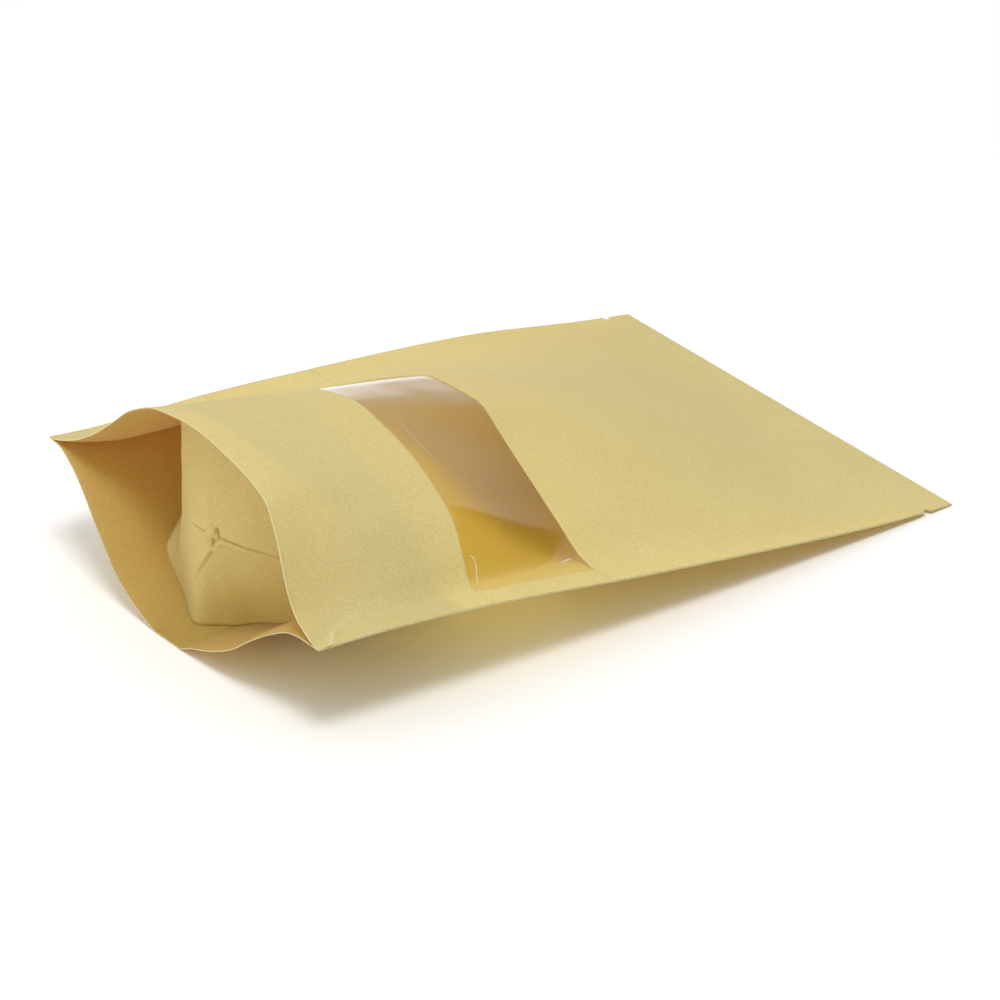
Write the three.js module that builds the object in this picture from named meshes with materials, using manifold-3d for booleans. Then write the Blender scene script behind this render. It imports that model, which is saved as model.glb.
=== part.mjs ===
// Kraft zip-lock stand-up pouch, empty, lying on its back with the front wall up.
// Millimetres. +X runs from the open base to the mouth, +Y across the pouch, +Z up.
// The origin is on the floor, below the middle of the pouch.
import * as THREE from 'three';
import { mergeVertices } from 'three/addons/utils/BufferGeometryUtils.js';
import Module from 'manifold-3d';

// ---- driving dimensions -------------------------------------------------------------

const LENGTH = 240; // bottom edge to mouth, along the paper
const WIDTH = 160; // across the flat pouch
const WALL = 0.45; // one laminated kraft wall
const SEAM = 1; // both walls pressed together in a seal
const SIDE_SEAL = 8; // width of the side seals
const CORNER_SEAL = 1.5; // what still holds the walls together at the bottom corners
const CORNER_RISE = 15; // distance over which the corner seal grows to the side seal
const MOUTH_BAND = 26; // flat band at the mouth, where both walls lie together
const DRAWN_IN = 10.4; // how far the opened base draws each side in
const CREST_OFFSET = 3; // crest of the front wall beside the middle, at the base
const KEEL_OFFSET = 5; // line that the back wall lies on beside the middle, at the base
const WINDOW_FROM = 61; // clear strip, from the bottom edge
const WINDOW_TO = 104.5;
const FILM = 0.2; // thickness of the clear film
const FILM_GAP = 0.3; // clearance between the film and the kraft
const NOTCH_FROM_MOUTH = 10; // tear notches
const NOTCH_DEPTH = 2;
const NOTCH_HALF_WIDTH = 1.5;
const GUSSET = 0.45; // thickness of the base gusset
const WINDOW_CUT_BELOW = 1.5; // how far the cut for the clear strip reaches below the wall
const TOUCH = 1e-6; // lengths below this are the same
const PAST_THE_EDGE = 12; // how far a cutting body reaches beyond what it cuts

// ---- smooth lines through a few named heights ---------------------------------------

// Monotone cubic through [position, value] knots, flat outside them.
function smoothLine(knots) {
	const x = knots.map((k) => k[0]);
	const y = knots.map((k) => k[1]);
	const last = x.length - 1;
	const step = x.slice(1).map((value, i) => value - x[i]);
	const rise = y.slice(1).map((value, i) => (value - y[i]) / step[i]);
	const endSlope = (h0, h1, d0, d1) => {
		const slope = ((2 * h0 + h1) * d0 - h0 * d1) / (h0 + h1);
		if (slope * d0 <= 0) return 0;
		return d0 * d1 < 0 && Math.abs(slope) > 3 * Math.abs(d0) ? 3 * d0 : slope;
	};
	const slope = x.map((_, i) => {
		if (last === 1) return rise[0];
		if (i === 0) return endSlope(step[0], step[1], rise[0], rise[1]);
		if (i === last) return endSlope(step[i - 1], step[i - 2], rise[i - 1], rise[i - 2]);
		if (rise[i - 1] * rise[i] <= 0) return 0;
		const before = 2 * step[i] + step[i - 1];
		const after = step[i] + 2 * step[i - 1];
		return (before + after) / (before / rise[i - 1] + after / rise[i]);
	});
	return (at) => {
		const p = Math.min(Math.max(at, x[0]), x[last]);
		let i = 0;
		while (i < last - 1 && p > x[i + 1]) i += 1;
		const t = (p - x[i]) / step[i];
		const t2 = t * t;
		const t3 = t2 * t;
		return (2 * t3 - 3 * t2 + 1) * y[i] + (t3 - 2 * t2 + t) * step[i] * slope[i]
			+ (3 * t2 - 2 * t3) * y[i + 1] + (t3 - t2) * step[i] * slope[i + 1];
	};
}

// Heights along the pouch, against the distance from the bottom edge.
const nearEdge = smoothLine([[0, 31], [25, 30], [60, 26.5], [110, 18.6], [160, 10.8], [215, 2.6], [240, 0]]);
const farEdge = smoothLine([[0, 40], [20, 36.3], [60, 32], [110, 24.6], [170, 15], [215, 5], [240, 0]]);
const crest = smoothLine([[0, 70.5], [61, 58.6], [105, 46.9], [150, 31], [190, 16], [215, 6.5], [240, SEAM]]);

// Cross-sections of the front wall: share of the crest's height above the seal, against
// the share of the way from the crest out to the seal. The base is an arch with flared
// sides, the clear strip's far end is a flat-topped roof, and the mouth end is a low dome.
const FRONT_SECTIONS = [
	{
		at: 0,
		near: smoothLine([[0, 1], [0.3, 0.94], [0.54, 0.82], [0.66, 0.6], [0.78, 0.3], [0.89, 0.1], [1, 0]]),
		far: smoothLine([[0, 1], [0.28, 0.95], [0.46, 0.78], [0.57, 0.56], [0.7, 0.32], [0.86, 0.11], [1, 0]]),
	},
	{
		at: 61,
		near: smoothLine([[0, 1], [0.33, 0.89], [0.51, 0.785], [0.645, 0.655], [0.775, 0.5],
			[0.865, 0.275], [0.93, 0.07], [0.98, 0], [1, 0]]),
		far: smoothLine([[0, 1], [0.25, 0.91], [0.33, 0.85], [0.5, 0.62], [0.7, 0.33], [0.88, 0.07], [0.96, 0], [1, 0]]),
	},
	{
		at: 105,
		near: smoothLine([[0, 1], [0.07, 0.995], [0.11, 0.97], [0.22, 0.85], [0.44, 0.6], [0.71, 0.28], [0.93, 0.02], [1, 0]]),
		far: smoothLine([[0, 1], [0.24, 0.965], [0.3, 0.93], [0.34, 0.88], [0.6, 0.52], [0.93, 0.04], [1, 0]]),
	},
	{
		at: 150,
		near: smoothLine([[0, 1], [0.3, 0.86], [0.6, 0.47], [0.85, 0.12], [1, 0]]),
		far: smoothLine([[0, 1], [0.3, 0.88], [0.6, 0.5], [0.85, 0.14], [1, 0]]),
	},
];

// Cross-sections of the back wall: share of the seal's height, against the share of the
// way from the keel line out to the seal.
const sag = smoothLine([[0, 0], [0.08, 0], [0.4, 0.25], [0.7, 0.66], [0.9, 0.95], [1, 1]]);
const BACK_SECTIONS = [
	{
		at: 0,
		near: smoothLine([[0, 0], [0.08, 0], [0.17, 0.09], [0.31, 0.215], [0.45, 0.39], [0.58, 0.63],
			[0.71, 0.84], [0.82, 0.97], [0.9, 1], [1, 1]]),
		far: smoothLine([[0, 0], [0.08, 0], [0.22, 0.075], [0.385, 0.225], [0.56, 0.505], [0.75, 0.81],
			[0.845, 0.92], [0.94, 0.99], [1, 1]]),
	},
	{ at: 60, near: sag, far: sag },
];

// Base gusset, against the place across the pouch: distance along the back wall and along
// the front wall to where its panel leaves them, depth of its middle crease from the bottom
// edge, and the crease's share of the way up.
const gussetOnBack = smoothLine([[-62, 40], [-35, 30], [-20, 27], [-8, 25], [0, 19], [7, 12], [15, 14.7],
	[22, 17], [28, 18], [40, 24], [62, 40]]);
const gussetOnFront = smoothLine([[-62, 40], [-45, 28], [-30, 16], [-10, 10], [5, 9], [21, 9],
	[35, 13], [50, 24], [62, 40]]);
const creaseDepth = smoothLine([[-62, 44], [-45, 34], [-24, 22], [-1.6, 14.5], [4, 13.5], [10, 14],
	[20, 17.5], [28, 30], [40, 41], [62, 44]]);
const creaseShare = smoothLine([[-62, 0.5], [-24, 0.43], [-2, 0.48], [20, 0.45], [62, 0.5]]);

// ---- the two walls ------------------------------------------------------------------

const towardsBase = (u) => 1 - Math.max(u, 0) / LENGTH;
const halfWidth = (u) => WIDTH / 2 - DRAWN_IN * towardsBase(u) ** 2;
const sealWidth = (u) => {
	const grown = Math.min(Math.max(u, 0) / CORNER_RISE, 1);
	return CORNER_SEAL + (SIDE_SEAL - CORNER_SEAL) * grown ** 0.7;
};
const sealLine = (u) => halfWidth(u) - sealWidth(u);
const crestLine = (u) => CREST_OFFSET * towardsBase(u);
const keelLine = (u) => KEEL_OFFSET * towardsBase(u);

const sectionValue = (sections, u, side, share) => {
	let i = 0;
	while (i < sections.length - 2 && u > sections[i + 1].at) i += 1;
	const from = sections[i];
	const to = sections[i + 1];
	const t = Math.min(Math.max((u - from.at) / (to.at - from.at), 0), 1);
	const ease = t * t * (3 - 2 * t);
	return from[side](share) * (1 - ease) + to[side](share) * ease;
};

// Height of a wall's outer face, u along the paper from the bottom edge and y across.
function frontHeight(u, y) {
	const middle = crestLine(u);
	const far = y > middle;
	const share = Math.min(Math.abs(y - middle) / (sealLine(u) + (far ? -middle : middle)), 1);
	const seam = (far ? farEdge(u) : nearEdge(u)) + SEAM;
	return seam + (crest(u) - seam) * sectionValue(FRONT_SECTIONS, u, far ? 'far' : 'near', share);
}

function backHeight(u, y) {
	const middle = keelLine(u);
	const far = y > middle;
	const share = Math.min(Math.abs(y - middle) / (sealLine(u) + (far ? -middle : middle)), 1);
	return (far ? farEdge(u) : nearEdge(u)) * sectionValue(BACK_SECTIONS, u, far ? 'far' : 'near', share);
}

// The paper keeps its length: where it stands above the floor, its base end draws in.
function paperPoint(u, y, height) {
	const left = LENGTH - Math.max(u, 0);
	const rise = Math.min(height, left / 2);
	const drawn = left - Math.sqrt(left * left - rise * rise);
	return new THREE.Vector3(u + drawn - LENGTH / 2, y, height);
}

// How much taller than thick a sloping sheet is, measured straight up.
function slant(height, u, y) {
	const d = 0.5;
	const along = (height(u + d, y) - height(Math.max(u - d, 0), y)) / (u + d - Math.max(u - d, 0));
	const across = (height(u, y + d) - height(u, y - d)) / (2 * d);
	return Math.hypot(1, along, across);
}

const frontFace = (depth) => (u, y) => {
	const height = frontHeight(u, y);
	const point = paperPoint(u, y, height);
	return point.setZ(height - depth * slant(frontHeight, Math.max(u, 0), y));
};
const backFace = (depth) => (u, y) => {
	const height = backHeight(u, y);
	const point = paperPoint(u, y, height);
	return point.setZ(height + depth * slant(backHeight, Math.max(u, 0), y));
};

// ---- closed bodies from patches of points -------------------------------------------

// Each patch is a grid of points, patch[i][j]. The outer side of the first patches is where
// i turns to j by the right-hand rule, that of the turned ones is the other side. Patches
// that share an edge share its points.
function bodyOf(patches, turnedPatches) {
	const points = [];
	const faces = [];
	const add = (patch, turned) => {
		const first = points.length / 3;
		const across = patch[0].length;
		for (const row of patch) {
			for (const point of row) points.push(point.x, point.y, point.z);
		}
		for (let i = 0; i + 1 < patch.length; i += 1) {
			for (let j = 0; j + 1 < across; j += 1) {
				const a = first + i * across + j;
				const b = a + across;
				if (turned) faces.push(a, b + 1, b, a, a + 1, b + 1);
				else faces.push(a, b, b + 1, a, b + 1, a + 1);
			}
		}
	};
	for (const patch of patches) add(patch, false);
	for (const patch of turnedPatches) add(patch, true);
	const geometry = new THREE.BufferGeometry();
	geometry.setAttribute('position', new THREE.Float32BufferAttribute(points, 3));
	geometry.setIndex(faces);
	return geometry;
}

// The patch between two lines of points, in a number of equal steps.
const ruled = (from, to, steps = 1) => from.map((point, i) => (
	Array.from({ length: steps + 1 }, (_, k) => point.clone().lerp(to[i], k / steps))
));

// A body between a low and a high face that have the same number of points.
function bodyBetween(low, high) {
	const last = low.length - 1;
	const column = (grid, j) => grid.map((row) => row.at(j));
	const side = (j) => ruled(column(low, j), column(high, j));
	return bodyOf(
		[high, side(0), ruled(low[last], high[last])],
		[low, side(-1), ruled(low[0], high[0])],
	);
}

// ---- grid stations ------------------------------------------------------------------

// Shares of the way out to the seal, closest together on the steep flanks.
const SHARES = [0, 0.08, 0.16, 0.25, 0.34, 0.43, 0.51, 0.58, 0.65, 0.71, 0.77, 0.83, 0.88, 0.94, 1];
const spread = [...SHARES.slice(1).reverse().map((share) => -share), ...SHARES];
const outToSeal = (u) => spread.map((share) => share * sealLine(u));

// Along the pouch. Up to the end of the base, each line of points has its own stations, so
// that one of them lies where the gusset leaves the wall.
const BASE_TO = 51;
const upToGusset = [0, 0.12, 0.3, 0.55, 0.78, 1];
const pastGusset = [0.2, 0.45, 0.72, 1];
const MOUTH_AT = LENGTH - MOUTH_BAND;
const NOTCH_AT = LENGTH - NOTCH_FROM_MOUTH;
const alongWindow = [0, 0.25, 0.5, 0.75, 1].map((t) => WINDOW_FROM + (WINDOW_TO - WINDOW_FROM) * t);
const alongUpper = [114, 126, 140, 156, 174, 194, MOUTH_AT];
const alongNotch = [-1, 0, 1].map((side) => NOTCH_AT + side * NOTCH_HALF_WIDTH);
const alongMouth = [221, ...alongNotch, 236, LENGTH];

const gussetRoot = (distance, share) => distance(share * sealLine(CORNER_RISE));
function stations(root, from, to) {
	const past = pastGusset.map((t) => root + (BASE_TO - root) * t);
	const all = [...upToGusset.map((t) => root * t), ...past, ...alongWindow, ...alongUpper, ...alongMouth];
	return all.slice(from, to);
}
const ROWS_TO_GUSSET = upToGusset.length;
const ROWS_TO_MOUTH_BAND = ROWS_TO_GUSSET + pastGusset.length + alongWindow.length + alongUpper.length;

// Turns one list of points for each line along the pouch into rows across it.
const acrossRows = (lines) => lines[0].map((_, i) => lines.map((line) => line[i]));

// ---- sub-parts ----------------------------------------------------------------------

const wasm = await Module();
wasm.setup();

function toManifold(geometry) {
	const merged = mergeVertices(geometry, 1e-5);
	return new wasm.Manifold(new wasm.Mesh({
		numProp: 3,
		vertProperties: new Float32Array(merged.attributes.position.array),
		triVerts: new Uint32Array(merged.index.array),
	}));
}

function toGeometry(manifold) {
	const mesh = manifold.getMesh();
	const geometry = new THREE.BufferGeometry();
	geometry.setAttribute('position', new THREE.BufferAttribute(mesh.vertProperties, 3));
	geometry.setIndex(new THREE.BufferAttribute(mesh.triVerts, 1));
	geometry.computeVertexNormals();
	return geometry;
}

// Everything inside the outer faces of both walls, with the tear notches left out.
function envelope() {
	const notchCut = (u) => NOTCH_DEPTH * Math.max(0, 1 - Math.abs(u - NOTCH_AT) / NOTCH_HALF_WIDTH);
	const wall = (distance, pointAt) => {
		const line = (share, yAt) => (
			stations(gussetRoot(distance, share)).map((u) => pointAt(u, yAt(u)))
		);
		const edge = (side) => line(side, (u) => side * (halfWidth(u) - notchCut(u)));
		const inner = spread.map((share) => line(share, (u) => share * sealLine(u)));
		return acrossRows([edge(-1), ...inner, edge(1)]);
	};
	return toManifold(bodyBetween(wall(gussetOnBack, backFace(0)), wall(gussetOnFront, frontFace(0))));
}

// The inner faces of both walls. They keep a little apart right up to the seals.
const backInside = backFace(WALL);
function frontInside(u, y) {
	const point = frontFace(WALL)(u, y);
	return point.setZ(Math.max(point.z, backInside(u, y).z + SEAM - 2 * WALL));
}

const LINE_STEPS = 6; // steps of a line from the back wall to the front wall
const MOST_LEAN = 2; // how far the gusset may lean, as a share of half the room between the walls
const MOST_ASKEW = 4; // limit to the allowance for a panel that runs askew

// The gusset panel, as one line from the back wall to the front wall for each share of the
// way across. It is folded along its crease, less deeply where the walls come together. Its
// far face is moved into the pouch by the thickness, and by more where the panel runs askew.
function gussetLines(thickness) {
	return spread.map((share) => {
		const y = share * sealLine(CORNER_RISE);
		const onWall = (distance, pointAt, past = 0) => {
			const u = distance(y) + past;
			return pointAt(u, share * sealLine(u));
		};
		const low = onWall(gussetOnBack, backInside);
		const high = onWall(gussetOnFront, frontInside);
		const halfRoom = (high.z - low.z) / 2;
		const between = (low.x + high.x) / 2;
		const reach = MOST_LEAN * halfRoom;
		const creaseAt = between + Math.min(Math.max(creaseDepth(y) - LENGTH / 2 - between, -reach), reach);
		const lean = Math.max(Math.abs(creaseAt - low.x), Math.abs(creaseAt - high.x)) / halfRoom;
		const through = (distance) => {
			const askew = (distance(y + 1) - distance(y - 1)) / 2;
			return thickness * Math.min(Math.hypot(1, askew, lean), MOST_ASKEW);
		};
		const bottom = onWall(gussetOnBack, backInside, through(gussetOnBack));
		const top = onWall(gussetOnFront, frontInside, through(gussetOnFront));
		const middle = bottom.clone().lerp(top, creaseShare(y));
		middle.x = creaseAt + through(creaseDepth);
		return Array.from({ length: LINE_STEPS + 1 }, (_, k) => {
			const t = (2 * k) / LINE_STEPS;
			return t < 1 ? bottom.clone().lerp(middle, t) : middle.clone().lerp(top, t - 1);
		});
	});
}

// A line from wall to wall for each share of the way across, at one distance.
function plainLines(u) {
	const line = (pointAt) => outToSeal(u).map((y) => pointAt(u, y));
	return ruled(line(backInside), line(frontInside), LINE_STEPS);
}

// The hollow between two sets of lines, with given stations along the walls between them.
function hollow(linesFrom, linesTo, stationsOf) {
	const wall = (distance, pointAt, step) => acrossRows(spread.map((share, j) => {
		const between = stationsOf(gussetRoot(distance, share));
		const points = between.map((u) => pointAt(u, share * sealLine(u)));
		return [linesFrom[j].at(step), ...points, linesTo[j].at(step)];
	}));
	const low = wall(gussetOnBack, backInside, 0);
	const high = wall(gussetOnFront, frontInside, -1);
	const side = (j) => {
		const plain = ruled(low.map((row) => row.at(j)), high.map((row) => row.at(j)), LINE_STEPS);
		return [linesFrom.at(j), ...plain.slice(1, -1), linesTo.at(j)];
	};
	return toManifold(bodyOf([high, side(0), linesTo], [low, side(-1), linesFrom]));
}

// The recess in the base, open past the bottom edge.
function recess() {
	return hollow(plainLines(-PAST_THE_EDGE), gussetLines(0), (root) => stations(root, 0, ROWS_TO_GUSSET - 1));
}

// The space inside, from the gusset to the mouth band.
function inside() {
	const between = (root) => stations(root, ROWS_TO_GUSSET, ROWS_TO_MOUTH_BAND - 1);
	return hollow(gussetLines(GUSSET), plainLines(MOUTH_AT), between);
}

// Removes the front wall over the clear strip, and half of the seals beside it.
function windowCut() {
	const above = (u, y) => frontFace(0)(u, y).add(new THREE.Vector3(0, 0, PAST_THE_EDGE));
	const below = (u, y) => {
		if (Math.abs(y) > sealLine(u) + TOUCH) return frontFace(FILM + FILM_GAP)(u, y);
		const point = frontInside(u, y);
		const room = point.z - backInside(u, y).z;
		return point.setZ(point.z - Math.min(room / 2, WINDOW_CUT_BELOW));
	};
	const grid = (pointAt) => alongWindow.map((u) => {
		const side = halfWidth(u);
		const ys = [-side - PAST_THE_EDGE, -side, ...outToSeal(u), side, side + PAST_THE_EDGE];
		return ys.map((y) => pointAt(u, y));
	});
	return toManifold(bodyBetween(grid(below), grid(above)));
}

function kraftPouch() {
	return toGeometry(envelope().subtract(recess()).subtract(inside()).subtract(windowCut()));
}

function windowFilm() {
	const along = [WINDOW_FROM + FILM_GAP, ...alongWindow.slice(1, -1), WINDOW_TO - FILM_GAP];
	const grid = (pointAt) => along.map((u) => (
		[-halfWidth(u), ...outToSeal(u), halfWidth(u)].map((y) => pointAt(u, y))
	));
	return bodyBetween(grid(frontFace(FILM)), grid(frontFace(0)));
}

// ---- the object ---------------------------------------------------------------------

const kraft = new THREE.MeshStandardMaterial({ color: '#d9c788', roughness: 0.85, metalness: 0 });
const clearFilm = new THREE.MeshStandardMaterial({
	color: '#f2efe6', roughness: 0.12, metalness: 0, transparent: true, opacity: 0.3,
});

function namedMesh(name, geometry, material) {
	const mesh = new THREE.Mesh(geometry, material);
	mesh.name = name;
	return mesh;
}

const group = new THREE.Group();
group.add(namedMesh('kraft_pouch', kraftPouch(), kraft));
group.add(namedMesh('window_film', windowFilm(), clearFilm));

export default group;
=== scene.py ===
"""Kraft zip-lock stand-up pouch, empty, lying on its back with its opened base to the left.

The walls are thin paper sheets built on the same shape lines as the solid model: u runs along
the paper from the bottom edge (0) to the mouth (240), y across the pouch, both in millimetres.
"""
import math

import bpy
import numpy as np
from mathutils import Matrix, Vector


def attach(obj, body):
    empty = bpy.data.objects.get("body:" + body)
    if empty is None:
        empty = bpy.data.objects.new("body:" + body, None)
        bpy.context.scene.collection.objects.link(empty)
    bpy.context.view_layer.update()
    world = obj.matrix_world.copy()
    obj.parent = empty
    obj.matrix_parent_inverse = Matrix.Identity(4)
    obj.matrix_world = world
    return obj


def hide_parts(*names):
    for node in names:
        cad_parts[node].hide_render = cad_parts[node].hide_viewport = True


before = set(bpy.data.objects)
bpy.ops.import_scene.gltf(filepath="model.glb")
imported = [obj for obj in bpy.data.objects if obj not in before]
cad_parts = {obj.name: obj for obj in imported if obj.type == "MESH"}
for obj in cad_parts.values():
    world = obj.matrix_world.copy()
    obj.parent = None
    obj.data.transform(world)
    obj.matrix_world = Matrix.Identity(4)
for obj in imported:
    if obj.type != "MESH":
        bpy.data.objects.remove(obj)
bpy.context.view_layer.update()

# ---- driving dimensions, in millimetres -----------------------------------------------

LENGTH = 240.0
WIDTH = 160.0
SEAM = 0.62
SIDE_SEAL = 8.0
CORNER_SEAL = 1.5
CORNER_RISE = 15.0
DRAWN_IN = 10.4
CREST_OFFSET = 3.0
KEEL_OFFSET = 5.0
WINDOW_FROM = 61.0
WINDOW_TO = 104.5
NOTCH_AT = 230.0
NOTCH_DEPTH = 2.0
NOTCH_HALF_WIDTH = 1.5
PAPER = 0.3
FILM = 0.12
FILM_LAP = 3.0
FILM_GAP = 0.02
MM = 0.001


# ---- smooth lines through a few named heights -----------------------------------------

def smooth_line(knots):
    """Monotone cubic through (position, value) knots, flat outside them."""
    x, y = np.array(knots, float).T
    step = np.diff(x)
    rise = np.diff(y) / step

    def end_slope(h0, h1, d0, d1):
        slope = ((2 * h0 + h1) * d0 - h0 * d1) / (h0 + h1)
        if slope * d0 <= 0:
            return 0.0
        return 3 * d0 if d0 * d1 < 0 and abs(slope) > 3 * abs(d0) else slope

    if len(step) == 1:
        slopes = np.array([rise[0], rise[0]])
    else:
        slopes = np.zeros(len(x))
        slopes[0] = end_slope(step[0], step[1], rise[0], rise[1])
        slopes[-1] = end_slope(step[-1], step[-2], rise[-1], rise[-2])
        for i in range(1, len(step)):
            if rise[i - 1] * rise[i] > 0:
                before = 2 * step[i] + step[i - 1]
                after = step[i] + 2 * step[i - 1]
                slopes[i] = (before + after) / (before / rise[i - 1] + after / rise[i])

    def line(at):
        at = np.clip(np.asarray(at, float), x[0], x[-1])
        i = np.clip(np.searchsorted(x, at, side="right") - 1, 0, len(step) - 1)
        t = (at - x[i]) / step[i]
        t2, t3 = t * t, t * t * t
        return ((2 * t3 - 3 * t2 + 1) * y[i] + (t3 - 2 * t2 + t) * step[i] * slopes[i]
                + (3 * t2 - 2 * t3) * y[i + 1] + (t3 - t2) * step[i] * slopes[i + 1])

    return line


near_edge = smooth_line([(0, 31), (25, 30), (60, 26.5), (110, 18.6), (160, 10.8), (215, 2.6), (240, 0)])
far_edge = smooth_line([(0, 40), (20, 36.3), (60, 32), (110, 24.6), (170, 15), (215, 5), (240, 0)])
crest = smooth_line([(0, 70.5), (61, 58.6), (105, 46.9), (150, 31), (190, 16), (215, 6.5), (240, SEAM)])

FRONT_SECTIONS = [
    (0,
     smooth_line([(0, 1), (.3, .94), (.54, .82), (.66, .6), (.78, .3), (.89, .1), (1, 0)]),
     smooth_line([(0, 1), (.28, .95), (.46, .78), (.57, .56), (.7, .32), (.86, .11), (1, 0)])),
    (61,
     smooth_line([(0, 1), (.33, .89), (.51, .785), (.645, .655), (.775, .5), (.865, .275),
                  (.93, .07), (.98, 0), (1, 0)]),
     smooth_line([(0, 1), (.25, .91), (.33, .85), (.5, .62), (.7, .33), (.88, .07), (.96, 0), (1, 0)])),
    (105,
     smooth_line([(0, 1), (.07, .995), (.11, .97), (.22, .85), (.44, .6), (.71, .28), (.93, .02), (1, 0)]),
     smooth_line([(0, 1), (.24, .965), (.3, .93), (.34, .88), (.6, .52), (.93, .04), (1, 0)])),
    (150,
     smooth_line([(0, 1), (.3, .86), (.6, .47), (.85, .12), (1, 0)]),
     smooth_line([(0, 1), (.3, .88), (.6, .5), (.85, .14), (1, 0)])),
]
sag = smooth_line([(0, 0), (.08, 0), (.4, .25), (.7, .66), (.9, .95), (1, 1)])
BACK_SECTIONS = [
    (0,
     smooth_line([(0, 0), (.08, 0), (.17, .09), (.31, .215), (.45, .39), (.58, .63), (.71, .84),
                  (.82, .97), (.9, 1), (1, 1)]),
     smooth_line([(0, 0), (.08, 0), (.22, .075), (.385, .225), (.56, .505), (.75, .81),
                  (.845, .92), (.94, .99), (1, 1)])),
    (60, sag, sag),
]

# The base gusset, against the place across the pouch: where its panel leaves the back wall and
# the front wall, how deep its middle crease lies, and how far up the crease is.
gusset_on_back = smooth_line([(-62, 40), (-35, 30), (-20, 27), (-8, 25), (0, 19), (7, 12), (15, 14.7),
                              (22, 17), (28, 18), (32, 19.2), (34, 22), (38, 30.5), (42, 35), (50, 41),
                              (62, 47)])
gusset_on_front = smooth_line([(-62, 40), (-45, 28), (-30, 16), (-10, 10), (5, 9), (20, 9), (23, 11.5),
                               (28, 16), (34, 22), (40, 28), (50, 37), (62, 47)])
crease_depth = smooth_line([(-62, 44), (-45, 34), (-24, 22), (-1.6, 14.5), (4, 13.5), (10, 14),
                            (20, 17.5), (25, 22), (30, 33), (40, 44), (50, 49), (62, 51)])
crease_share = smooth_line([(-62, .5), (-24, .43), (-2, .48), (20, .45), (62, .5)])

# Small creases of the gusset: a line of (place across, height), depth into the paper, half width.
GUSSET_CREASES = [
    ([(-3.6, 33.5), (-10, 33.3), (-24, 33.7), (-40, 33)], 1.0, 0.42),
    ([(-4, 32.5), (-12, 32.2), (-24, 32.6)], -0.55, 0.6),
    ([(3.6, 33.6), (12, 32.4)], 0.55, 0.45),
    ([(3.8, 34.4), (12, 33.2)], -0.3, 0.5),
    ([(-0.8, 35.5), (1.2, 41), (3.6, 48.5)], -0.7, 0.55),
    ([(0.1, 35.8), (2.2, 41), (4.6, 48)], 0.5, 0.5),
    ([(1.7, 27.5), (5.4, 20.6), (8.2, 15)], -0.65, 0.7),
    ([(0.6, 27.5), (4.3, 20.6), (7.2, 15)], 0.35, 0.6),
    ([(-1.4, 35.8), (-2.4, 33.6), (-1.9, 32)], 2.0, 0.5),
    ([(-0.2, 32), (0.8, 29.0)], 1.8, 0.5),
    ([(-2.6, 31.4), (-1.0, 30.4)], -1.1, 0.6),
    ([(-0.6, 34.6), (1.2, 33.8)], -0.9, 0.6),
]


# ---- the two walls ----------------------------------------------------------------------

def towards_base(u):
    return 1 - np.maximum(u, 0) / LENGTH


def half_width(u):
    return WIDTH / 2 - DRAWN_IN * towards_base(u) ** 2


def seal_width(u):
    grown = np.clip(np.maximum(u, 0) / CORNER_RISE, 0, 1)
    return CORNER_SEAL + (SIDE_SEAL - CORNER_SEAL) * grown ** 0.7


def seal_line(u):
    return half_width(u) - seal_width(u)


def section_value(sections, u, side, share):
    out = np.zeros(np.broadcast(u, share).shape)
    for k in range(len(sections) - 1):
        low, high = sections[k][0], sections[k + 1][0]
        here = (u > low) | (k == 0)
        if k < len(sections) - 2:
            here &= u <= high
        t = np.clip((u - low) / (high - low), 0, 1)
        ease = t * t * (3 - 2 * t)
        value = sections[k][side](share) * (1 - ease) + sections[k + 1][side](share) * ease
        out = np.where(here, value, out)
    return out


def height_of(u, y, middle, edges, top, sections, lift):
    far = y > middle
    share = np.minimum(np.abs(y - middle) / (seal_line(u) + np.where(far, -middle, middle)), 1)
    seam = np.where(far, edges[1](u), edges[0](u)) + lift
    value = np.where(far, section_value(sections, u, 2, share), section_value(sections, u, 1, share))
    return seam + (top(u) - seam) * value if top else seam * value


def front_height(u, y):
    middle = CREST_OFFSET * towards_base(u)
    return height_of(u, y, middle, (near_edge, far_edge), crest, FRONT_SECTIONS, SEAM)


def back_height(u, y):
    middle = KEEL_OFFSET * towards_base(u)
    far = y > middle
    share = np.minimum(np.abs(y - middle) / (seal_line(u) + np.where(far, -middle, middle)), 1)
    seam = np.where(far, far_edge(u), near_edge(u))
    return seam * np.where(far, section_value(BACK_SECTIONS, u, 2, share),
                           section_value(BACK_SECTIONS, u, 1, share))


def paper_point(u, y, height):
    """The paper keeps its length: where it stands above the floor, its base end draws in."""
    left = LENGTH - np.maximum(u, 0)
    rise = np.minimum(height, left / 2)
    drawn = left - np.sqrt(left * left - rise * rise)
    return np.stack(np.broadcast_arrays(u + drawn - LENGTH / 2, y, height), -1)


# ---- small relief of the paper ----------------------------------------------------------

def bump_noise(u, y, size, seed):
    """Smooth seeded undulation between about -1 and 1."""
    rng = np.random.default_rng(seed)
    total = np.zeros(np.broadcast(u, y).shape)
    for _ in range(7):
        angle, phase = rng.uniform(0, math.tau, 2)
        pace = math.tau / (size * rng.uniform(0.7, 1.5))
        total = total + np.sin((u * math.cos(angle) + y * math.sin(angle)) * pace + phase)
    return total / 4


def inside_seals(u, y, reach=10.0):
    """Fades a relief out towards the seals and the mouth."""
    from_seal = np.clip((seal_line(u) - np.abs(y)) / reach, 0, 1)
    from_mouth = np.clip((LENGTH - 26 - u) / reach, 0, 1)
    return from_seal * from_mouth


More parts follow.
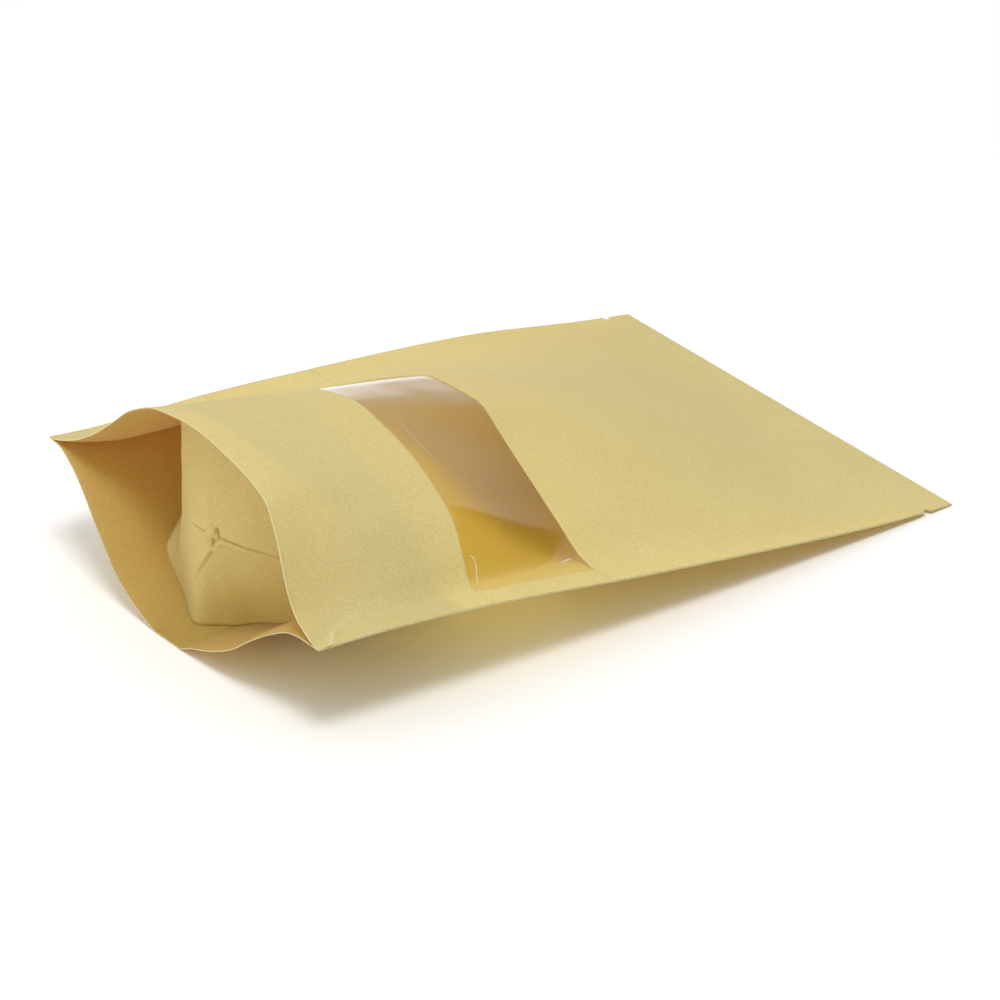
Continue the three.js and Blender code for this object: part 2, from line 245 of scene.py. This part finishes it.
STEEP_AT, STEEP_WIDTH, STEEPER = -49.0, 8.0, 2.6  # the near flank of the front wall
STEEP_FROM, STEEP_TO = 76.0, 34.0  # it fades in from the first to the second, towards the base
MOUTH_BAND, BAND_SINK = 27.0, 0.12
TACK_HEIGHT, TACK_WIDTH = 0.35, 0.8
TACK_EDGE = np.array([(2.0, -71.5), (5.5, -68.2), (8.8, -64.2), (12.5, -61.9), (16.6, -61.3),
                      (21, -61.1)])


def tack_ridge(u, y):
    """The pressed edge of the near corner's seal: 1 on its line, about 0 two millimetres off."""
    nearest = np.full(u.shape, 1e9)
    for a, b in zip(TACK_EDGE[:-1], TACK_EDGE[1:]):
        way = b - a
        t = np.clip(((u - a[0]) * way[0] + (y - a[1]) * way[1]) / (way @ way), 0, 1)
        nearest = np.minimum(nearest, np.hypot(u - a[0] - t * way[0], y - a[1] - t * way[1]))
    return np.exp(-(nearest / TACK_WIDTH) ** 2)


def front_point(u, y):
    u, y = np.broadcast_arrays(np.asarray(u, float), np.asarray(y, float))
    relief = 0.22 * bump_noise(u, y, 46, 3) + 0.05 * bump_noise(u, y, 15, 4)
    off = (y - STEEP_AT) / STEEP_WIDTH
    fade = np.clip((STEEP_FROM - u) / (STEEP_FROM - STEEP_TO), 0, 1)
    relief = relief + STEEPER * off * np.exp(-off * off) * fade * fade * (3 - 2 * fade)
    band = np.clip((u - (LENGTH - MOUTH_BAND)) / 1.2, 0, 1) * BAND_SINK
    point = paper_point(u, y, front_height(u, y))
    point[..., 2] += relief * inside_seals(u, y) - band + TACK_HEIGHT * tack_ridge(u, y)
    return point


def back_point(u, y):
    u, y = np.broadcast_arrays(np.asarray(u, float), np.asarray(y, float))
    height = back_height(u, y)
    lifted = np.clip((height - 1.5) / 6, 0, 1)
    point = paper_point(u, y, height)
    point[..., 2] += 0.2 * bump_noise(u, y, 40, 8) * inside_seals(u, y) * lifted
    return point


# ---- meshes -----------------------------------------------------------------------------

def grid_normals(points):
    along = np.gradient(points, axis=0)
    across = np.gradient(points, axis=1)
    normal = np.cross(along, across)
    return normal / np.maximum(np.linalg.norm(normal, axis=-1, keepdims=True), 1e-9)


def sheet_object(name, points, thickness, materials, wear_and_shade=None, outward=1.0):
    """A closed thin sheet. points is the outer face, a grid [i][j]; the inner face lies a
    thickness below it. Materials are those of the outer face, the inner face, the rim of the
    first row and the rest of the rim. The per-point values after them say how pale each point is from wear,
    and below 0 how much painted shade darkens it."""
    normal = grid_normals(points) * outward
    inner = points - normal * thickness
    rows, cols = points.shape[:2]
    verts = np.concatenate([points.reshape(-1, 3), inner.reshape(-1, 3)]) * MM
    count = rows * cols
    i, j = np.meshgrid(np.arange(rows - 1), np.arange(cols - 1), indexing="ij")
    a = (i * cols + j).ravel()
    b = a + cols
    top = np.stack([a, b, b + 1, a + 1], 1)
    if outward < 0:
        top = top[:, ::-1]
    bottom = top[:, ::-1] + count
    ring = ([k for k in range(cols - 1)] + [k * cols + cols - 1 for k in range(rows - 1)]
            + [(rows - 1) * cols + k for k in range(cols - 1, 0, -1)]
            + [k * cols for k in range(rows - 1, 0, -1)])
    ring = np.array(ring)
    after = np.roll(ring, -1)
    rim = np.stack([ring, after, after + count, ring + count], 1)
    if outward < 0:
        rim = rim[:, ::-1]
    faces = np.concatenate([top, bottom, rim])
    mesh = bpy.data.meshes.new(name)
    mesh.from_pydata(verts.tolist(), [], faces.tolist())
    for material in materials:
        mesh.materials.append(material)
    rim_slots = np.where(np.arange(len(rim)) < cols - 1, 2, 3)
    slots = np.concatenate([np.zeros(len(top), int), np.ones(len(bottom), int), rim_slots])
    mesh.polygons.foreach_set("material_index", np.minimum(slots, len(materials) - 1))
    smooth = np.concatenate([np.ones(len(top) + len(bottom), bool), np.zeros(len(rim), bool)])
    mesh.polygons.foreach_set("use_smooth", smooth)
    if wear_and_shade is not None:
        layer = mesh.attributes.new("wear_and_shade", "FLOAT", "POINT")
        layer.data.foreach_set("value", np.tile(wear_and_shade.ravel(), 2).astype(np.float32))
    mesh.validate()
    mesh.update()
    obj = bpy.data.objects.new(name, mesh)
    bpy.context.scene.collection.objects.link(obj)
    return obj


def steps(low, high, size):
    """Stations from low to high about size apart, with closer ones at both cut edges."""
    near = np.array([0, 0.25, 0.6, 1.1])
    values = np.linspace(low, high, max(int(round((high - low) / size)), 2) + 1)
    values = np.concatenate([low + near, values[values > low + 1.6]])
    return np.concatenate([values[values < high - 1.6], high - near[::-1]])


SHARES = np.concatenate([np.linspace(0, 0.5, 22)[:-1], np.linspace(0.5, 1, 34)])
SHARES = np.concatenate([-SHARES[:0:-1], SHARES])
SEAL_STEPS = np.array([0.12, 0.3, 0.5, 0.7, 0.84, 0.93, 0.97, 1.0])


def across(u, notched=False):
    """Places across the pouch at each u, from side edge to side edge."""
    side = half_width(u)
    if notched:
        side = side - NOTCH_DEPTH * np.maximum(0, 1 - np.abs(u - NOTCH_AT) / NOTCH_HALF_WIDTH)
    seal = seal_line(u)
    inner = SHARES[None, :] * seal[:, None]
    outer = seal[:, None] + (side - seal)[:, None] * SEAL_STEPS[None, :]
    return np.concatenate([-outer[:, ::-1], inner, outer], 1)


def edge_wear_and_shade(u, y, cuts):
    """How pale each point is from a cut edge: cuts pairs a place with its strength. Along the
    pressed crescent the paper is paler on its line, and on the side of the base a painted shadow of the
    pressed edge darkens it."""
    def near(distance):
        return np.exp(-np.maximum(distance, 0) / 0.3)
    wear_and_shade = 0.3 * near(half_width(u)[:, None] - np.abs(y))
    u_at = np.broadcast_to(u[:, None], y.shape)
    # the subtracted, shifted ridge is painted shadow beside the pressed edge
    wear_and_shade = np.maximum(wear_and_shade, 0.75 * tack_ridge(u_at, y)) - 0.6 * tack_ridge(u_at + 1.2, y - 0.8)
    for cut, strength in cuts:
        wear_and_shade = np.maximum(wear_and_shade, strength * near(np.abs(u - cut))[:, None])
    return wear_and_shade


# ---- materials --------------------------------------------------------------------------

def srgb(r, g, b):
    def linear(c):
        c /= 255
        return c / 12.92 if c <= 0.04045 else ((c + 0.055) / 1.055) ** 2.4
    return (linear(r), linear(g), linear(b), 1.0)


def new_material(name):
    material = bpy.data.materials.new(name)
    material.use_nodes = True
    tree = material.node_tree
    tree.nodes.clear()
    shader = tree.nodes.new("ShaderNodeBsdfPrincipled")
    out = tree.nodes.new("ShaderNodeOutputMaterial")
    tree.links.new(shader.outputs[0], out.inputs[0])
    return material, tree, shader


def noise(tree, coords, scale, detail=3.0, rough=0.55, stretch=None):
    if stretch:
        mapping = tree.nodes.new("ShaderNodeMapping")
        mapping.inputs["Scale"].default_value = stretch
        tree.links.new(coords, mapping.inputs["Vector"])
        coords = mapping.outputs["Vector"]
    node = tree.nodes.new("ShaderNodeTexNoise")
    node.inputs["Scale"].default_value = scale
    node.inputs["Detail"].default_value = detail
    node.inputs["Roughness"].default_value = rough
    tree.links.new(coords, node.inputs["Vector"])
    return node.outputs["Fac"]


def ramp(tree, value, low, high, at=(0.0, 1.0)):
    node = tree.nodes.new("ShaderNodeMapRange")
    node.inputs["From Min"].default_value = at[0]
    node.inputs["From Max"].default_value = at[1]
    node.inputs["To Min"].default_value = low
    node.inputs["To Max"].default_value = high
    tree.links.new(value, node.inputs["Value"])
    return node.outputs["Result"]


def math_node(tree, operation, *values):
    node = tree.nodes.new("ShaderNodeMath")
    node.operation = operation
    node.use_clamp = True
    for socket, value in zip(node.inputs, values):
        if hasattr(value, "is_output"):
            tree.links.new(value, socket)
        else:
            socket.default_value = value
    return node.outputs[0]


def mix(tree, fac, a, b, mode="MIX"):
    node = tree.nodes.new("ShaderNodeMix")
    node.data_type = "RGBA"
    node.blend_type = mode
    for socket, value in ((node.inputs["Factor"], fac), (node.inputs["A"], a), (node.inputs["B"], b)):
        if hasattr(value, "is_output"):
            tree.links.new(value, socket)
        else:
            socket.default_value = value
    return node.outputs["Result"]


WORN_PAPER = (1, 0.96, 0.68, 1)


def paper_material(name, colour, mottle=0.1, roughness=0.6, through=0.0, worn=0.8, passing_green=0.87):
    """Unprinted kraft: cloudy tone, short lighter and darker fibres, fine flour, a few dark specks,
    paler where worn, and darkened by painted shade in creases and beside a pressed edge. The share of light
    named by through passes the sheet and comes out warmer, the more so the lower passing_green is."""
    material, tree, shader = new_material(name)

    def shade(*factors):
        return tuple(min(c * f, 1.0) for c, f in zip(colour, factors)) + (1,)

    coords = tree.nodes.new("ShaderNodeTexCoord").outputs["Object"]
    clouds = noise(tree, coords, 28, 4, 0.6)
    grain = noise(tree, coords, 900, 3, 0.7)
    fibres = noise(tree, coords, 620, 2, 0.6, stretch=(0.35, 1.6, 1.0))
    fibres2 = noise(tree, coords, 540, 2, 0.6, stretch=(1.5, 0.3, 1.0))
    dim, lit = 1 - mottle * 0.35, 1 + mottle * 0.35
    tone = mix(tree, ramp(tree, clouds, 0, 1, (0.3, 0.7)), shade(dim, dim, dim), shade(lit, lit, lit))
    tone = mix(tree, ramp(tree, grain, 0, mottle * 1.6, (0.35, 0.75)), tone, shade(0.7, 0.66, 0.5))
    tone = mix(tree, ramp(tree, fibres, 0, mottle * 1.5, (0.55, 0.8)), tone, shade(1.2, 1.3, 1.9))
    tone = mix(tree, ramp(tree, fibres2, 0, mottle * 1.5, (0.58, 0.8)), tone, shade(0.66, 0.6, 0.45))
    flour = noise(tree, coords, 2100, 2, 0.8)
    dusk = mix(tree, 1.0, tone, (0.80, 0.77, 0.62, 1), "MULTIPLY")
    tone = mix(tree, ramp(tree, flour, 0, 1, (0.40, 0.60)), dusk, tone)
    specks = tree.nodes.new("ShaderNodeTexVoronoi")
    specks.inputs["Scale"].default_value = 46
    specks.inputs["Randomness"].default_value = 1.0
    tree.links.new(coords, specks.inputs["Vector"])
    spot = ramp(tree, specks.outputs["Distance"], 0.45, 0.0, (0.015, 0.028))
    tone = mix(tree, spot, tone, shade(0.3, 0.25, 0.2))
    if worn:
        attribute = tree.nodes.new("ShaderNodeAttribute")
        attribute.attribute_name = "wear_and_shade"
        fac = attribute.outputs["Fac"]
        tone = mix(tree, ramp(tree, fac, 0, worn, (0.25, 0.9)), tone, WORN_PAPER)
        # below 0 the attribute is painted shade: creases and the side of a pressed edge are darkened here
        tone = mix(tree, ramp(tree, fac, 0.8, 0, (-1, -0.1)), tone, shade(0.5, 0.42, 0.3))
    tree.links.new(tone, shader.inputs["Base Color"])
    tree.links.new(ramp(tree, grain, roughness - 0.06, roughness + 0.08), shader.inputs["Roughness"])
    shader.inputs["Specular IOR Level"].default_value = 0.5
    shader.inputs["Sheen Weight"].default_value = 0.22
    shader.inputs["Sheen Roughness"].default_value = 0.4
    bump = tree.nodes.new("ShaderNodeBump")
    bump.inputs["Strength"].default_value = 0.12
    bump.inputs["Distance"].default_value = 0.0001
    tree.links.new(grain, bump.inputs["Height"])
    tree.links.new(bump.outputs[0], shader.inputs["Normal"])
    if through:
        passing = tree.nodes.new("ShaderNodeBsdfTranslucent")
        passing.inputs["Color"].default_value = (1.0, passing_green, 0.5 * passing_green, 1)
        blend = tree.nodes.new("ShaderNodeMixShader")
        blend.inputs[0].default_value = through
        tree.links.new(shader.outputs[0], blend.inputs[1])
        tree.links.new(passing.outputs[0], blend.inputs[2])
        tree.links.new(blend.outputs[0], tree.nodes["Material Output"].inputs[0])
    return material


kraft_outside = paper_material("kraft_outside", (1.0, 0.94, 0.475), through=0.42)
# a more saturated, slightly darker copy of the outer kraft for the gusset, which is the same paper: painted
# shade for the gusset lying in shade
kraft_gusset_shaded = paper_material("kraft_gusset_shaded", (1.0, 0.9, 0.385), through=0.42, passing_green=0.8)
kraft_inside = paper_material("kraft_inside", (0.79, 0.70, 0.265), roughness=0.5, through=0.8)
# a darker copy of the inner paper, with redder light passing through it, for the opened skirt by the base:
# painted shade for that recess, as the inner paper is one sheet throughout
kraft_skirt_shaded = paper_material("kraft_skirt_inside_shaded", (0.53, 0.475, 0.14), roughness=0.5, through=0.35,
                             passing_green=0.5)
kraft_cut = paper_material("kraft_cut_edge", srgb(234, 224, 174)[:3], mottle=0.05, worn=0)
kraft_edge = paper_material("kraft_side_edge", srgb(224, 211, 156)[:3], mottle=0.05, worn=0)
PAPER_FACES = (kraft_outside, kraft_inside, kraft_cut, kraft_edge, kraft_skirt_shaded)
INNER_FACE, FIRST_RIM, OTHER_RIM, SKIRT_FACE = 1, 2, 3, 4
SKIRT_TO = 52.0  # up to here the inside of the walls takes the darker skirt copy of the inner paper: painted shade for the opened base's recess


def film_material():
    """Clear glossy film: it shows what is under it, and mirrors more the flatter it is seen."""
    material, tree, shader = new_material("clear_film")
    shader.inputs["Base Color"].default_value = (0.97, 0.95, 0.94, 1)
    shader.inputs["Metallic"].default_value = 1.0
    shader.inputs["Roughness"].default_value = 0.08
    fresnel = tree.nodes.new("ShaderNodeFresnel")
    fresnel.inputs["IOR"].default_value = 1.5
    coords = tree.nodes.new("ShaderNodeTexCoord").outputs["Object"]
    haze = ramp(tree, noise(tree, coords, 60, 3, 0.6), 0.0, 0.012)
    both_faces = math_node(tree, "MULTIPLY_ADD", fresnel.outputs[0], 1.75, haze)
    outside = math_node(tree, "SUBTRACT", 1.0, tree.nodes.new("ShaderNodeNewGeometry").outputs["Backfacing"])
    tree.links.new(math_node(tree, "MULTIPLY", both_faces, outside), shader.inputs["Alpha"])
    return material


clear_film = film_material()

# ---- camera, floor and light ------------------------------------------------------------

CAMERA_AT = (-0.9939, -1.2703, 0.9342)
AZIMUTH, ELEVATION = 38.137, 29.857
FOCAL, SENSOR = 216.0, 36.0
FLOOR_SIZE, FLOOR_GAP = 12.0, 0.0002


def add_camera():
    data = bpy.data.cameras.new("camera")
    data.lens, data.sensor_width = FOCAL, SENSOR
    data.clip_end = 20
    camera = bpy.data.objects.new("camera", data)
    bpy.context.scene.collection.objects.link(camera)
    camera.location = CAMERA_AT
    a, e = math.radians(AZIMUTH), math.radians(ELEVATION)
    look = Vector((math.sin(a) * math.cos(e), math.cos(a) * math.cos(e), -math.sin(e)))
    camera.rotation_euler = look.to_track_quat("-Z", "Y").to_euler()
    bpy.context.scene.camera = camera


def add_floor():
    half = FLOOR_SIZE / 2
    mesh = bpy.data.meshes.new("floor")
    corners = [(-half, -half, 0), (half, -half, 0), (half, half, 0), (-half, half, 0)]
    mesh.from_pydata(corners, [], [(0, 1, 2, 3)])
    floor = bpy.data.objects.new("floor", mesh)
    bpy.context.scene.collection.objects.link(floor)
    floor.location.z = -FLOOR_GAP
    material, tree, shader = new_material("floor_white")
    shader.inputs["Base Color"].default_value = (0.95, 0.95, 0.95, 1)
    shader.inputs["Roughness"].default_value = 0.9
    shader.inputs["Specular IOR Level"].default_value = 0.1
    mesh.materials.append(material)


# The bright surroundings end at these azimuths, seen from the pouch; the near right is dimmer.
BRIGHT_FROM, BRIGHT_TO, CAMERA_SIDE, BACK_SIDE = 108.0, 372.0, -40.0, 215.0
LEAN = 0.36  # the first edge leans, so higher up the bright part starts sooner
WORLD_STRENGTH = 1.13
DIM_LIGHT, BAND_LIGHT, HORIZON_LIGHT, BACK_LIGHT = 0.055, 0.44, 0.72, 0.55
CAMERA_SIDE_LOSS = 0.5


def set_world():
    """A white room: bright at the horizon and overhead, dimmer between, dimmest near right."""
    world = bpy.data.worlds.new("studio")
    world.use_nodes = True
    tree = world.node_tree
    tree.nodes["Background"].inputs["Color"].default_value = (1, 1, 1, 1)
    direction = tree.nodes.new("ShaderNodeTexCoord").outputs["Generated"]

    def along(vector, low, high, at):
        dot = tree.nodes.new("ShaderNodeVectorMath")
        dot.operation = "DOT_PRODUCT"
        tree.links.new(direction, dot.inputs[0])
        dot.inputs[1].default_value = vector
        return ramp(tree, dot.outputs["Value"], low, high, at)

    def past(azimuth, soft):
        turn = math.radians(azimuth)
        return along((math.sin(turn), -math.cos(turn), 0), 0.0, 1.0, soft)

    turn = math.radians(BRIGHT_FROM + 90)
    edge = along((math.sin(turn), -math.cos(turn), LEAN), 0.0, 1.0, (-0.01, 0.04))
    bright_side = math_node(tree, "MAXIMUM", edge, past(BRIGHT_TO - 90, (-0.1, 0.3)))
    camera_side = past(CAMERA_SIDE, (0.1, 0.9))
    loss = math_node(tree, "MULTIPLY", camera_side, CAMERA_SIDE_LOSS)
    bright_side = math_node(tree, "SUBTRACT", bright_side, loss)
    band = math_node(tree, "MULTIPLY_ADD", bright_side, BAND_LIGHT, DIM_LIGHT)
    overhead = along((0, 0, 1), 0.0, 1.0, (0.55, 0.85))
    horizon = along((0, 0, 1), HORIZON_LIGHT, 0.0, (0.0, 0.28))
    low_part = math_node(tree, "MAXIMUM", band, math_node(tree, "MULTIPLY", horizon, bright_side))
    low_part = math_node(tree, "MULTIPLY_ADD", past(BACK_SIDE, (0.3, 0.9)), BACK_LIGHT, low_part)
    strength = math_node(tree, "MAXIMUM", low_part, overhead)
    tree.links.new(math_node(tree, "MULTIPLY", strength, WORLD_STRENGTH),
                   tree.nodes["Background"].inputs["Strength"])
    bpy.context.scene.world = world


KEY_AZIMUTH, KEY_ELEVATION, KEY_DISTANCE = -39.0, 71.0, 2.5
KEY_SIZE, KEY_POWER = 0.7, 26.3


def add_key():
    """The main light: a square panel turned to the pouch."""
    data = bpy.data.lights.new("key", "AREA")
    data.shape = "SQUARE"
    data.size = KEY_SIZE
    data.energy = KEY_POWER
    light = bpy.data.objects.new("key", data)
    bpy.context.scene.collection.objects.link(light)
    a, e = math.radians(KEY_AZIMUTH), math.radians(KEY_ELEVATION)
    back = Vector((math.sin(a) * math.cos(e), -math.cos(a) * math.cos(e), math.sin(e)))
    light.location = back * KEY_DISTANCE
    light.rotation_euler = (-back).to_track_quat("-Z", "Y").to_euler()


add_camera()
add_floor()
set_world()
add_key()
bpy.context.scene.view_settings.view_transform = "Standard"
bpy.context.scene.view_settings.look = "None"


# ---- the pouch --------------------------------------------------------------------------

def wall_piece(name, point_at, low, high, cuts, size=2.0, notched=False, outward=1.0):
    u = steps(low, high, size)
    if notched:
        tip = NOTCH_AT + np.array([-1, -0.5, 0, 0.5, 1]) * NOTCH_HALF_WIDTH
        u = np.unique(np.concatenate([u[np.abs(u - NOTCH_AT) > 1.7], tip]))
    y = across(u, notched)
    points = point_at(u[:, None], y)
    obj = sheet_object(name, points, PAPER, PAPER_FACES, edge_wear_and_shade(u, y, cuts), outward)
    # inner faces near the base take the darker skirt copy: painted shade for the recess
    for polygon in obj.data.polygons:
        if polygon.material_index == INNER_FACE and polygon.center.x < (SKIRT_TO - LENGTH / 2) * MM:
            polygon.material_index = SKIRT_FACE
        elif polygon.material_index == FIRST_RIM and low > 0:
            polygon.material_index = OTHER_RIM
    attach(obj, "root")
    return obj


# Cut edges, with how worn they are: a place and a strength, or a strength alone.
BASE_EDGE, OTHER_EDGE = (0, 0.6), 0.35
wall_piece("front_wall_base", front_point, 0, WINDOW_FROM,
           (BASE_EDGE, (WINDOW_FROM, OTHER_EDGE)), size=0.9)
wall_piece("front_wall_upper", front_point, WINDOW_TO, LENGTH,
           ((WINDOW_TO, OTHER_EDGE), (LENGTH, OTHER_EDGE)), notched=True)
back_wall = wall_piece("back_wall", back_point, 0, LENGTH, (BASE_EDGE, (LENGTH, OTHER_EDGE)),
                       notched=True, outward=-1.0)


SEAL_STEP, STRIP_THICKNESS = 0.1, 0.2


def seal_strip(name, side, reach):
    """Beside the clear strip the walls are welded with kraft between, up to reach past the seal."""
    u = steps(WINDOW_FROM - 0.6, WINDOW_TO + 0.6, 2.0)
    t = np.concatenate([[0, 0.03, 0.07], np.linspace(0.12, 1, 26)])
    inner = seal_line(u) - reach
    y = side * (inner[:, None] + (half_width(u) - inner)[:, None] * t)
    if side < 0:
        y = y[:, ::-1]
    points = front_point(u[:, None], y)
    points[..., 2] -= SEAL_STEP
    faces = (kraft_outside, kraft_inside, kraft_edge)
    obj = sheet_object(name, points, STRIP_THICKNESS, faces, np.zeros(y.shape))
    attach(obj, "root")
    return obj


seal_strip("seal_strip_near", -1, 0.4)
seal_strip("seal_strip_far", 1, 18.0)


def film_piece():
    u = np.linspace(WINDOW_FROM - FILM_LAP, WINDOW_TO + FILM_LAP, 40)
    y = across(u)[:, len(SEAL_STEPS) - 3:3 - len(SEAL_STEPS)]
    points = front_point(u[:, None], y)
    normal = grid_normals(points)
    points = points - normal * (PAPER + FILM_GAP)
    obj = sheet_object("window_film_sheet", points, FILM, (clear_film,))
    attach(obj, "root")
    return obj


film = film_piece()


# Each mark: points (along the paper, across), width, and how blunt its ends are. The first two are fine
# scratches; the last three are painted highlights: a curved streak where the film folds, a point at its foot
# and a glint.
FILM_SCRATCHES_AND_GLINTS = [
    ([(68.9, -3.9), (67.9, -14.7), (67.8, -25.2), (68.8, -33.8)], 0.17, 0.0),
    ([(80.3, -7.3), (79.9, -10.1)], 0.1, 0.0),
    ([(63.3, -57.5), (64.6, -58.1), (64.9, -59.5), (64.2, -61.2), (62.6, -64.1)], 0.42, 0.0),
    ([(61.4, -65.4), (62.2, -65.7)], 0.9, 0.7),
    ([(95.7, -62.1), (98.7, -61.4), (101.8, -60.9)], 0.5, 0.0),
]


def smooth_through(at, values, places):
    """A smooth curve through a few values (a cubic at most, blended with straight lines)."""
    out = np.interp(places, at, values)
    if len(at) > 2:
        fit = np.polyfit(at, values, min(3, len(at) - 1))
        out = 0.35 * out + 0.65 * np.polyval(fit, places)
    return out


def film_scratches_and_glints():
    """Two fine scratches and three painted highlights, a curved streak where the film folds, a point at its
    foot and a glint, as pale strips a hair above the film.
    """
    verts, faces = [], []
    for line, width, ends in FILM_SCRATCHES_AND_GLINTS:
        line = np.array(line, float)
        along = np.linspace(0, len(line) - 1, 14)
        k = np.arange(len(line))
        u, y = smooth_through(k, line[:, 0], along), smooth_through(k, line[:, 1], along)
        way = np.stack([np.gradient(u), np.gradient(y)], -1)
        way /= np.linalg.norm(way, axis=1, keepdims=True)
        full = width / 2 * np.clip(np.minimum(along, along[-1] - along) / along[-1] * 4 + ends, 0, 1)
        start = len(verts)
        for side in (-1, 1):
            at = front_point(u - side * way[:, 1] * full, y + side * way[:, 0] * full)
            at[:, 2] -= PAPER * 0.85
            verts += (at * MM).tolist()
        n = len(u)
        faces += [(start + i, start + i + 1, start + n + i + 1, start + n + i) for i in range(n - 1)]
    mesh = bpy.data.meshes.new("film_scratches_and_glints")
    mesh.from_pydata(verts, [], faces)
    material, tree, shader = new_material("film_scratch_and_glint")
    shader.inputs["Base Color"].default_value = (0.93, 0.91, 0.86, 1)
    shader.inputs["Roughness"].default_value = 0.25
    coords = tree.nodes.new("ShaderNodeTexCoord").outputs["Object"]
    tree.links.new(ramp(tree, noise(tree, coords, 900, 2, 0.6), 0.15, 0.75), shader.inputs["Alpha"])
    mesh.materials.append(material)
    obj = bpy.data.objects.new("film_scratches_and_glints", mesh)
    bpy.context.scene.collection.objects.link(obj)
    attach(obj, "root")


film_scratches_and_glints()


def gusset_relief(y, z):
    """How far the small creases push the gusset in, and how much painted shade darkens them, at y across, z
    high.
    """
    total = 0.35 * bump_noise(y, z, 30, 12) + 0.1 * bump_noise(y, z, 9, 13)
    shadow = np.zeros(y.shape)
    for line, depth, half in GUSSET_CREASES:
        line = np.array(line, float)
        nearest, share = np.full(y.shape, 1e9), np.zeros(y.shape)
        for k in range(len(line) - 1):
            a, way = line[k], line[k + 1] - line[k]
            t = np.clip(((y - a[0]) * way[0] + (z - a[1]) * way[1]) / (way @ way), 0, 1)
            distance = np.hypot(y - a[0] - t * way[0], z - a[1] - t * way[1])
            closer = distance < nearest
            nearest = np.where(closer, distance, nearest)
            share = np.where(closer, (k + t) / (len(line) - 1), share)
        fading = 1 - 0.75 * share
        amount = depth * fading * np.exp(-(nearest / half) ** 2)
        total = total + amount
        shadow = np.maximum(shadow, np.minimum(amount, 1))
    return total, shadow


GUSSET_HALF = 62


def gusset_grid():
    """The gusset panel, a line from the back wall to the front wall for each place across."""
    y = np.concatenate([np.linspace(-GUSSET_HALF, -26, 45)[:-1], np.linspace(-26, 32, 190)[:-1],
                        np.linspace(32, GUSSET_HALF, 45)])
    shares = y / GUSSET_HALF
    y = shares * seal_line(CORNER_RISE)
    on_back, on_front = gusset_on_back(y), gusset_on_front(y)
    low = back_point(on_back, shares * seal_line(on_back))
    high = front_point(on_front, shares * seal_line(on_front))
    low[:, 2] += PAPER
    high[:, 2] -= PAPER
    half_room = np.maximum((high[:, 2] - low[:, 2]) / 2, 0.05)
    between = (low[:, 0] + high[:, 0]) / 2
    reach = 2.0 * half_room
    crease_at = between + np.clip(crease_depth(y) - LENGTH / 2 - between, -reach, reach)
    share = crease_share(y)[:, None]
    middle = low + (high - low) * share
    middle[:, 0] = crease_at
    t = np.concatenate([np.linspace(0, 0.4, 14)[:-1], np.linspace(0.4, 1.5, 80)[:-1],
                        np.linspace(1.5, 2, 18)])
    lower = low[:, None] + (middle - low)[:, None] * np.minimum(t, 1)[None, :, None]
    upper = (high - middle)[:, None] * np.maximum(t - 1, 0)[None, :, None]
    points = lower + upper
    held = np.minimum(1, np.minimum(t, 2 - t) / 0.15)[None, :] * np.clip(half_room / 6, 0, 1)[:, None]
    relief, shadow = gusset_relief(points[..., 1], points[..., 2])
    points[..., 0] += relief * held
    return points, shadow * held


gusset_points, gusset_shadow = gusset_grid()
gusset_faces = (kraft_gusset_shaded, kraft_inside, kraft_edge)
# the creases' shadow goes in below 0: painted shade along the gusset's creases
gusset = sheet_object("base_gusset", gusset_points, PAPER, gusset_faces, -gusset_shadow, outward=-1.0)
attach(gusset, "root")

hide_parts("kraft_pouch")
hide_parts("window_film")
